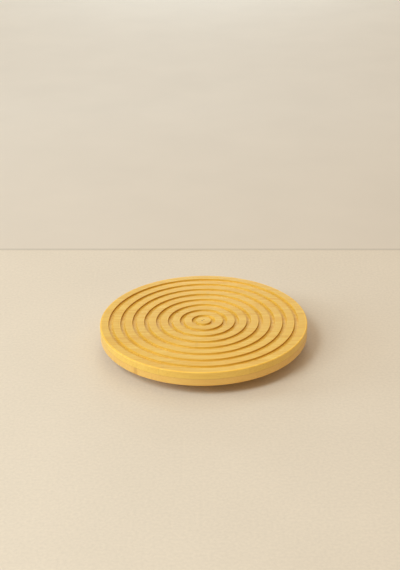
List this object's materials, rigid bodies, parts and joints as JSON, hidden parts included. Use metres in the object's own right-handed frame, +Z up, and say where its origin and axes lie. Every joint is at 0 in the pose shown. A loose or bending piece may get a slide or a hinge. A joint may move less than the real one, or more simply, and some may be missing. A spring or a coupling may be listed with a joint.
{
  "type": "lazy susan turntable",
  "caption": "Round bamboo lazy susan: a ring-grooved board that turns on a flat aluminium ball bearing over a smaller footed bamboo base.",
  "frame": {"origin": "on the table, at the centre of the circle of feet, on the axis that the board turns about", "axes": "+Z up, along the turning axis; the feet stand at 45 degrees to +X and +Y"},
  "size_m": [0.3, 0.3, 0.0383],
  "materials": {
    "bamboo_upper": "satin oiled bamboo",
    "bamboo_lower": "satin oiled bamboo",
    "bamboo_base": "satin oiled bamboo",
    "ring_aluminium": "turned and lightly anodised",
    "ball_steel": "ground and polished",
    "screw_steel": "zinc plated",
    "cage_nylon": "moulded",
    "foot_rubber": "moulded, matt"
  },
  "bodies": {
    "base": {"base_disc": "bamboo_base", "outer_ring": "ring_aluminium", "filler_plug": "screw_steel", "base_screw_1": "screw_steel", "base_screw_2": "screw_steel", "base_screw_3": "screw_steel", "base_screw_4": "screw_steel", "rubber_foot_1": "foot_rubber", "rubber_foot_2": "foot_rubber", "rubber_foot_3": "foot_rubber", "rubber_foot_4": "foot_rubber", "foot_washer_1": "screw_steel", "foot_washer_2": "screw_steel", "foot_washer_3": "screw_steel", "foot_washer_4": "screw_steel", "foot_screw_1": "screw_steel", "foot_screw_2": "screw_steel", "foot_screw_3": "screw_steel", "foot_screw_4": "screw_steel"},
    "turntable": {"upper_ply": "bamboo_upper", "lower_ply": "bamboo_lower", "inner_ring": "ring_aluminium", "ring_screw_1": "screw_steel", "ring_screw_2": "screw_steel", "ring_screw_3": "screw_steel", "ring_screw_4": "screw_steel"},
    "cage": {"ball_cage": "cage_nylon", "bearing_balls": "ball_steel"}
  },
  "joints": [
    {"name": "turntable_spin", "type": "hinge", "parent": "base", "child": "turntable", "pos_m": [0, 0, 0.0135], "axis": [0, 0, 1], "continuous": true},
    {"name": "cage_orbit", "type": "hinge", "parent": "base", "child": "cage", "pos_m": [0, 0, 0.0135], "axis": [0, 0, 1], "continuous": true}
  ],
  "couplings": [
    {"joint": "cage_orbit", "follows": "turntable_spin", "ratio": 0.4853}
  ]
}
